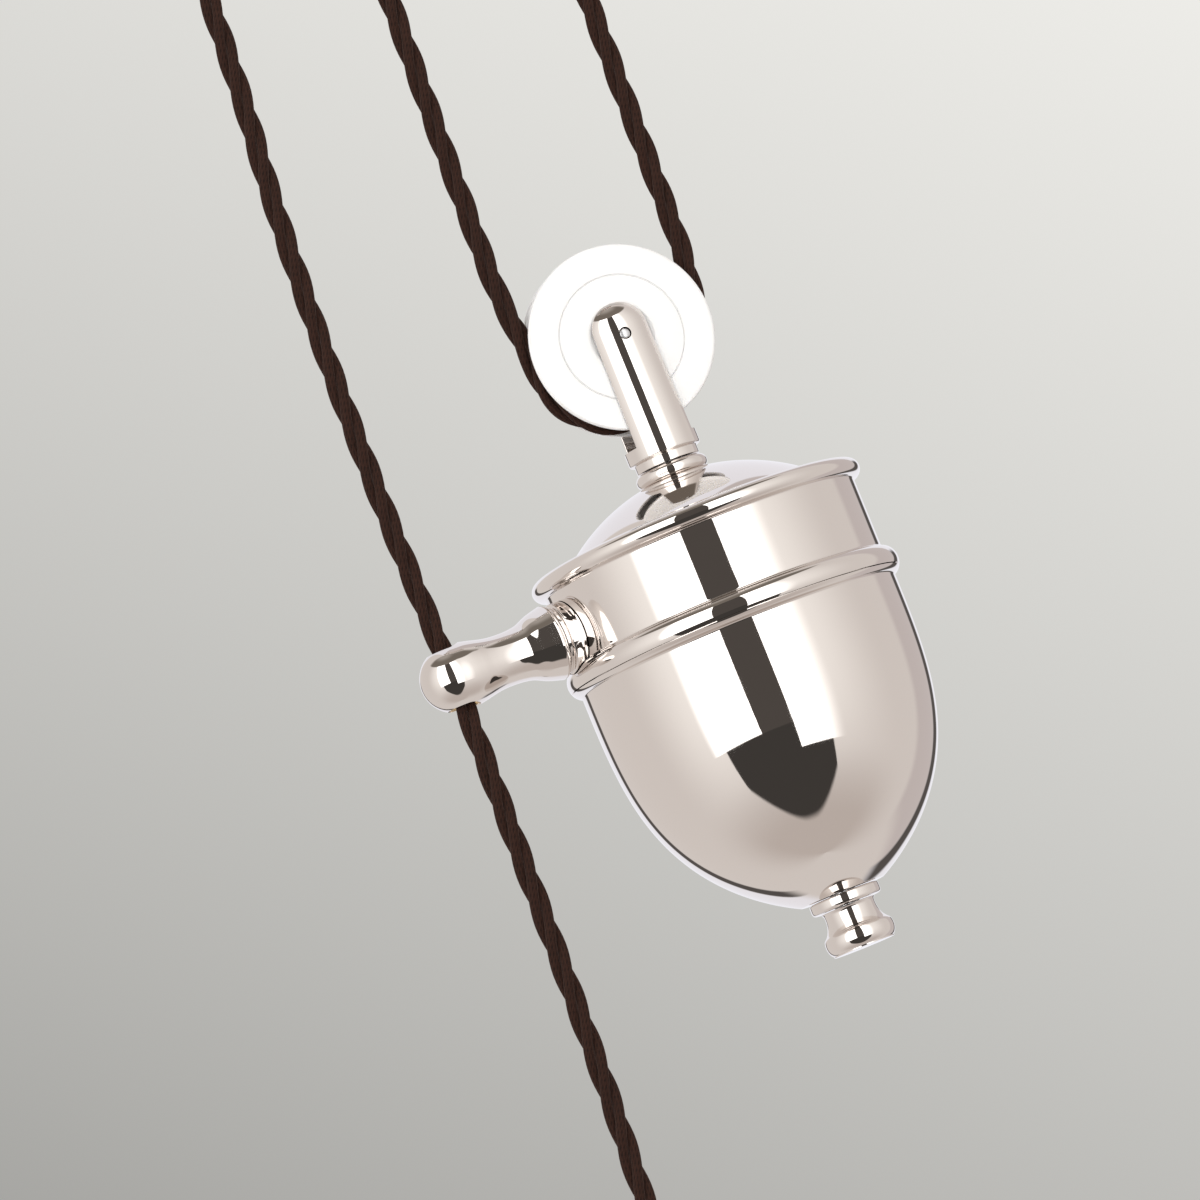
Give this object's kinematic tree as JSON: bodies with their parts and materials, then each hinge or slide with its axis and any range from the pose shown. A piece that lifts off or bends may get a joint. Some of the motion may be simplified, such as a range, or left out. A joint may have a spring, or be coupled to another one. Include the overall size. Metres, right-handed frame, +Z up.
{
  "type": "pendant lamp counterweight",
  "caption": "Urn-shaped polished nickel counterweight of a rise-and-fall pendant lamp, on a porcelain pulley in a fork, with a side guide arm and its twisted cord.",
  "frame": {"origin": "middle of the ceiling plate's top face, where it meets the ceiling", "axes": "+Z up along the weight's own axis, +X in the common plane of the two pulley wheels towards the cord's fixed end, -Y the side the object is seen from"},
  "size_m": [0.1633, 0.1116, 0.515],
  "materials": {
    "polished_nickel": "mirror polished",
    "white_porcelain": "glossy",
    "bearing_brass": "turned",
    "bright_steel": "turned",
    "cast_ballast": "rough cast",
    "brown_braid": "matt woven"
  },
  "bodies": {
    "fitting": {"pulley_fork": "polished_nickel", "neck_collar": "polished_nickel", "dome_lid": "polished_nickel", "body_band": "polished_nickel", "guide_arm": "polished_nickel", "arm_boss": "polished_nickel", "ceiling_plate": "polished_nickel", "ceiling_bracket": "polished_nickel", "cord_anchor": "polished_nickel", "lamp_grip": "polished_nickel", "guide_bush": "bearing_brass", "lamp_nipple": "bearing_brass", "pulley_axle": "bright_steel", "pulley_washer_front": "bright_steel", "pulley_washer_rear": "bright_steel", "tie_rod": "bright_steel", "lid_washer": "bright_steel", "lid_nut": "bright_steel", "spacer_sleeve": "bright_steel", "ballast_washer": "bright_steel", "ballast_nut": "bright_steel", "arm_stud": "bright_steel", "arm_washer": "bright_steel", "arm_nut": "bright_steel", "bracket_screw": "bright_steel", "ceiling_axle": "bright_steel", "ceiling_washer_front": "bright_steel", "ceiling_washer_rear": "bright_steel", "anchor_screw": "bright_steel", "lamp_grip_screw": "bright_steel", "ballast_disc_1": "cast_ballast", "ballast_disc_2": "cast_ballast", "ballast_disc_3": "cast_ballast", "ballast_disc_4": "cast_ballast", "suspension_cord": "brown_braid"},
    "pulley": {"pulley_wheel": "white_porcelain", "pulley_bush": "bearing_brass"},
    "ceiling_wheel": {"ceiling_wheel": "white_porcelain", "ceiling_bush": "bearing_brass"},
    "bowl": {"ballast_bowl": "polished_nickel"},
    "finial": {"finial": "polished_nickel", "finial_disc": "polished_nickel"}
  },
  "joints": [
    {"name": "ceiling_wheel_spin", "type": "hinge", "parent": "fitting", "child": "ceiling_wheel", "pos_m": [-0.0312, 0, -0.041], "axis": [0, 1, 0], "continuous": true},
    {"name": "pulley_spin", "type": "hinge", "parent": "fitting", "child": "pulley", "pos_m": [0.022, 0, -0.221], "axis": [0, 1, 0], "continuous": true},
    {"name": "bowl_drop", "type": "slide", "parent": "fitting", "child": "bowl", "axis": [0, 0, -1], "range_m": [0, 0.1]},
    {"name": "finial_turn", "type": "hinge", "parent": "bowl", "child": "finial", "pos_m": [0.022, 0, -0.42], "axis": [0, 0, 1], "continuous": true}
  ],
  "couplings": [
    {"joint": "pulley_spin", "follows": "ceiling_wheel_spin", "ratio": -0.5}
  ]
}
